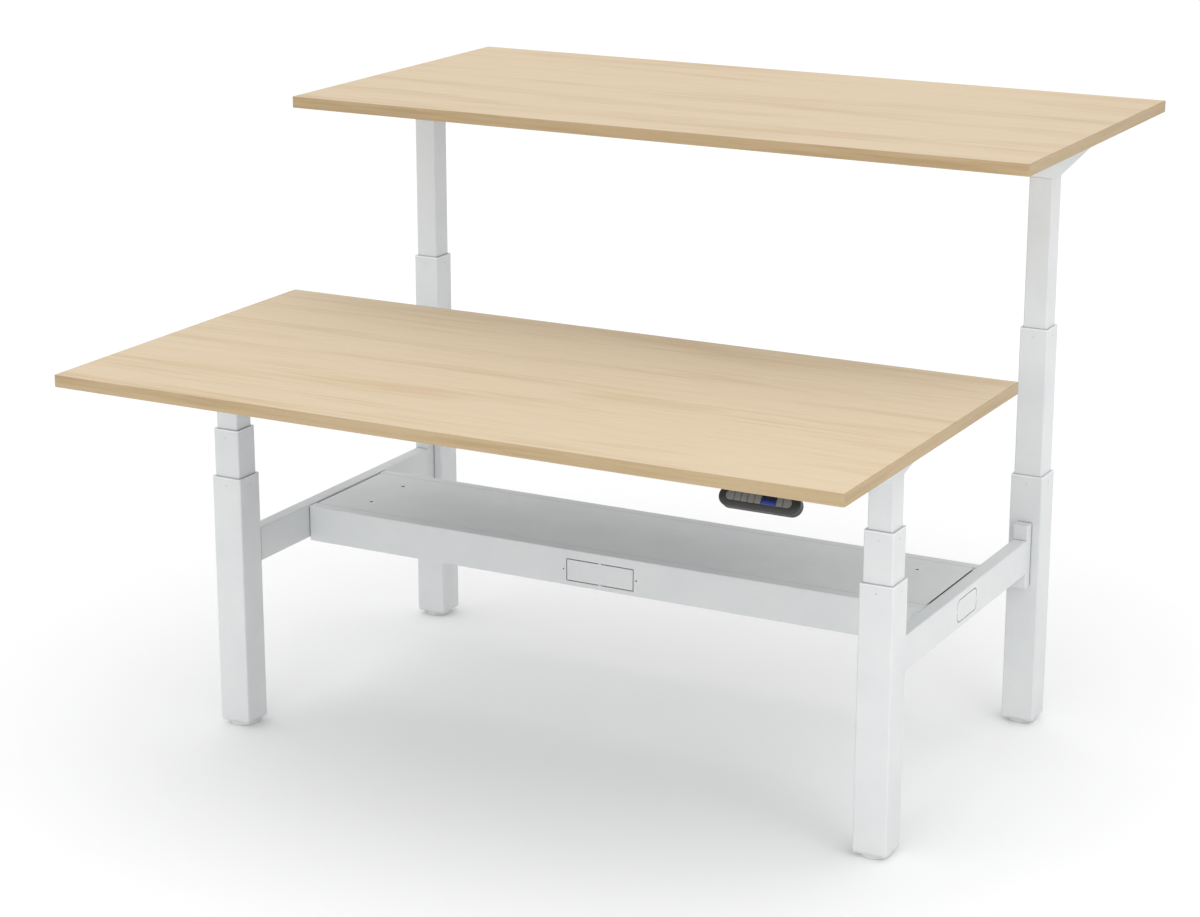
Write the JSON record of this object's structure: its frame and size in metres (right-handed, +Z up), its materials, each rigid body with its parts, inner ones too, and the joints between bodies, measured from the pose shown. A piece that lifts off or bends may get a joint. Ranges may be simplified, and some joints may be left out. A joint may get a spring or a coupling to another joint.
{
  "type": "height adjustable back-to-back standing desk",
  "caption": "Back-to-back height-adjustable desks on one steel frame: telescopic square columns, side beams, a lidded cable duct, and a handset under each wood desktop.",
  "frame": {"origin": "on the floor under the middle of the shared frame, midway between the two desktops and between the four columns", "axes": "+X along the desktops to the front user's right, +Y from the front user towards the back user, +Z up"},
  "size_m": [1.6, 1.61, 1.22],
  "materials": {
    "white_powder_coat": "fine satin powder coat",
    "foot_plastic": "matt moulded plastic",
    "collar_plastic": "smooth moulded plastic",
    "oak_laminate": "matt wood laminate, grain along the length",
    "oak_edge": "matt wood-pattern edging",
    "drive_steel": "bright drawn steel",
    "zinc_fastener": "zinc plated",
    "motor_black": "black painted",
    "box_black": "matt black plastic",
    "handset_black": "fine textured dark plastic",
    "key_grey": "soft grey plastic",
    "display_blue": "glossy blue-black window"
  },
  "bodies": {
    "frame": {"outer_tube_front_left": "white_powder_coat", "outer_tube_front_right": "white_powder_coat", "outer_tube_back_left": "white_powder_coat", "outer_tube_back_right": "white_powder_coat", "outer_collars": "collar_plastic", "threaded_posts": "drive_steel", "side_beam_left": "white_powder_coat", "side_beam_right": "white_powder_coat", "cable_duct": "white_powder_coat", "duct_end_plates": "white_powder_coat", "duct_bolts": "zinc_fastener"},
    "duct_cover": {"duct_lid": "white_powder_coat"},
    "leveller_front_left": {"foot_front_left": "foot_plastic"},
    "leveller_front_right": {"foot_front_right": "foot_plastic"},
    "leveller_back_left": {"foot_back_left": "foot_plastic"},
    "leveller_back_right": {"foot_back_right": "foot_plastic"},
    "front_middle_stage": {"front_middle_tubes": "white_powder_coat", "front_middle_collars": "collar_plastic", "front_threaded_sleeves": "drive_steel"},
    "front_desk": {"front_inner_tubes": "white_powder_coat", "front_motors": "motor_black", "front_side_arms": "white_powder_coat", "front_support_rails": "white_powder_coat", "front_desktop": "oak_laminate", "front_edge_band": "oak_edge", "front_screws": "zinc_fastener", "front_control_box": "box_black", "front_handset": "handset_black", "front_display": "display_blue"},
    "front_drive_left": {"front_drive_tube_left": "drive_steel"},
    "front_drive_right": {"front_drive_tube_right": "drive_steel"},
    "front_button_1": {"front_key_1": "key_grey"},
    "front_button_2": {"front_key_2": "key_grey"},
    "front_button_3": {"front_key_3": "key_grey"},
    "front_button_4": {"front_key_4": "key_grey"},
    "front_button_5": {"front_key_5": "key_grey"},
    "front_button_6": {"front_key_6": "key_grey"},
    "front_button_7": {"front_key_7": "key_grey"},
    "back_middle_stage": {"back_middle_tubes": "white_powder_coat", "back_middle_collars": "collar_plastic", "back_threaded_sleeves": "drive_steel"},
    "back_desk": {"back_inner_tubes": "white_powder_coat", "back_motors": "motor_black", "back_side_arms": "white_powder_coat", "back_support_rails": "white_powder_coat", "back_desktop": "oak_laminate", "back_edge_band": "oak_edge", "back_screws": "zinc_fastener", "back_control_box": "box_black", "back_handset": "handset_black", "back_display": "display_blue"},
    "back_drive_left": {"back_drive_tube_left": "drive_steel"},
    "back_drive_right": {"back_drive_tube_right": "drive_steel"},
    "back_button_1": {"back_key_1": "key_grey"},
    "back_button_2": {"back_key_2": "key_grey"},
    "back_button_3": {"back_key_3": "key_grey"},
    "back_button_4": {"back_key_4": "key_grey"},
    "back_button_5": {"back_key_5": "key_grey"},
    "back_button_6": {"back_key_6": "key_grey"},
    "back_button_7": {"back_key_7": "key_grey"}
  },
  "joints": [
    {"name": "duct_lid_lift", "type": "slide", "parent": "frame", "child": "duct_cover", "axis": [0, 0, 1], "range_m": [0, 0.08]},
    {"name": "foot_screw_front_left", "type": "slide", "parent": "frame", "child": "leveller_front_left", "axis": [0, 0, -1], "range_m": [0, 0.015]},
    {"name": "foot_screw_front_right", "type": "slide", "parent": "frame", "child": "leveller_front_right", "axis": [0, 0, -1], "range_m": [0, 0.015]},
    {"name": "foot_screw_back_left", "type": "slide", "parent": "frame", "child": "leveller_back_left", "axis": [0, 0, -1], "range_m": [0, 0.015]},
    {"name": "foot_screw_back_right", "type": "slide", "parent": "frame", "child": "leveller_back_right", "axis": [0, 0, -1], "range_m": [0, 0.015]},
    {"name": "front_lift", "type": "slide", "parent": "frame", "child": "front_desk", "axis": [0, 0, 1], "range_m": [-0.166, 0.484]},
    {"name": "front_middle_slide", "type": "slide", "parent": "frame", "child": "front_middle_stage", "axis": [0, 0, 1], "range_m": [-0.083, 0.242]},
    {"name": "front_drive_turn_left", "type": "hinge", "parent": "front_desk", "child": "front_drive_left", "pos_m": [-0.698, -0.382, 0.6], "axis": [0, 0, 1], "range_deg": [-1868.5, 5446]},
    {"name": "front_drive_turn_right", "type": "hinge", "parent": "front_desk", "child": "front_drive_right", "pos_m": [0.698, -0.382, 0.6], "axis": [0, 0, 1], "range_deg": [-1868.5, 5446]},
    {"name": "front_key_1_press", "type": "slide", "parent": "front_desk", "child": "front_button_1", "axis": [0, 0.8192, -0.5736], "range_m": [0, 0.0008], "stiffness_N_per_m": 1000, "springref_m": -0.0007},
    {"name": "front_key_2_press", "type": "slide", "parent": "front_desk", "child": "front_button_2", "axis": [0, 0.8192, -0.5736], "range_m": [0, 0.0008], "stiffness_N_per_m": 1000, "springref_m": -0.0007},
    {"name": "front_key_3_press", "type": "slide", "parent": "front_desk", "child": "front_button_3", "axis": [0, 0.8192, -0.5736], "range_m": [0, 0.0008], "stiffness_N_per_m": 1000, "springref_m": -0.0007},
    {"name": "front_key_4_press", "type": "slide", "parent": "front_desk", "child": "front_button_4", "axis": [0, 0.8192, -0.5736], "range_m": [0, 0.0008], "stiffness_N_per_m": 1000, "springref_m": -0.0007},
    {"name": "front_key_5_press", "type": "slide", "parent": "front_desk", "child": "front_button_5", "axis": [0, 0.8192, -0.5736], "range_m": [0, 0.0008], "stiffness_N_per_m": 1000, "springref_m": -0.0007},
    {"name": "front_key_6_press", "type": "slide", "parent": "front_desk", "child": "front_button_6", "axis": [0, 0.8192, -0.5736], "range_m": [0, 0.0008], "stiffness_N_per_m": 1000, "springref_m": -0.0007},
    {"name": "front_key_7_press", "type": "slide", "parent": "front_desk", "child": "front_button_7", "axis": [0, 0.8192, -0.5736], "range_m": [0, 0.0008], "stiffness_N_per_m": 1000, "springref_m": -0.0007},
    {"name": "back_lift", "type": "slide", "parent": "frame", "child": "back_desk", "axis": [0, 0, 1], "range_m": [-0.57, 0.08]},
    {"name": "back_middle_slide", "type": "slide", "parent": "frame", "child": "back_middle_stage", "axis": [0, 0, 1], "range_m": [-0.285, 0.04]},
    {"name": "back_drive_turn_left", "type": "hinge", "parent": "back_desk", "child": "back_drive_left", "pos_m": [-0.698, 0.382, 0.6], "axis": [0, 0, 1], "range_deg": [-6413.5, 901]},
    {"name": "back_drive_turn_right", "type": "hinge", "parent": "back_desk", "child": "back_drive_right", "pos_m": [0.698, 0.382, 0.6], "axis": [0, 0, 1], "range_deg": [-6413.5, 901]},
    {"name": "back_key_1_press", "type": "slide", "parent": "back_desk", "child": "back_button_1", "axis": [0, -0.8192, -0.5736], "range_m": [0, 0.0008], "stiffness_N_per_m": 1000, "springref_m": -0.0007},
    {"name": "back_key_2_press", "type": "slide", "parent": "back_desk", "child": "back_button_2", "axis": [0, -0.8192, -0.5736], "range_m": [0, 0.0008], "stiffness_N_per_m": 1000, "springref_m": -0.0007},
    {"name": "back_key_3_press", "type": "slide", "parent": "back_desk", "child": "back_button_3", "axis": [0, -0.8192, -0.5736], "range_m": [0, 0.0008], "stiffness_N_per_m": 1000, "springref_m": -0.0007},
    {"name": "back_key_4_press", "type": "slide", "parent": "back_desk", "child": "back_button_4", "axis": [0, -0.8192, -0.5736], "range_m": [0, 0.0008], "stiffness_N_per_m": 1000, "springref_m": -0.0007},
    {"name": "back_key_5_press", "type": "slide", "parent": "back_desk", "child": "back_button_5", "axis": [0, -0.8192, -0.5736], "range_m": [0, 0.0008], "stiffness_N_per_m": 1000, "springref_m": -0.0007},
    {"name": "back_key_6_press", "type": "slide", "parent": "back_desk", "child": "back_button_6", "axis": [0, -0.8192, -0.5736], "range_m": [0, 0.0008], "stiffness_N_per_m": 1000, "springref_m": -0.0007},
    {"name": "back_key_7_press", "type": "slide", "parent": "back_desk", "child": "back_button_7", "axis": [0, -0.8192, -0.5736], "range_m": [0, 0.0008], "stiffness_N_per_m": 1000, "springref_m": -0.0007}
  ],
  "couplings": [
    {"joint": "front_middle_slide", "follows": "front_lift", "ratio": 0.5},
    {"joint": "front_drive_turn_left", "follows": "front_lift", "rad_per_m": 196.35},
    {"joint": "front_drive_turn_right", "follows": "front_lift", "rad_per_m": 196.35},
    {"joint": "back_middle_slide", "follows": "back_lift", "ratio": 0.5},
    {"joint": "back_drive_turn_left", "follows": "back_lift", "rad_per_m": 196.35},
    {"joint": "back_drive_turn_right", "follows": "back_lift", "rad_per_m": 196.35}
  ]
}
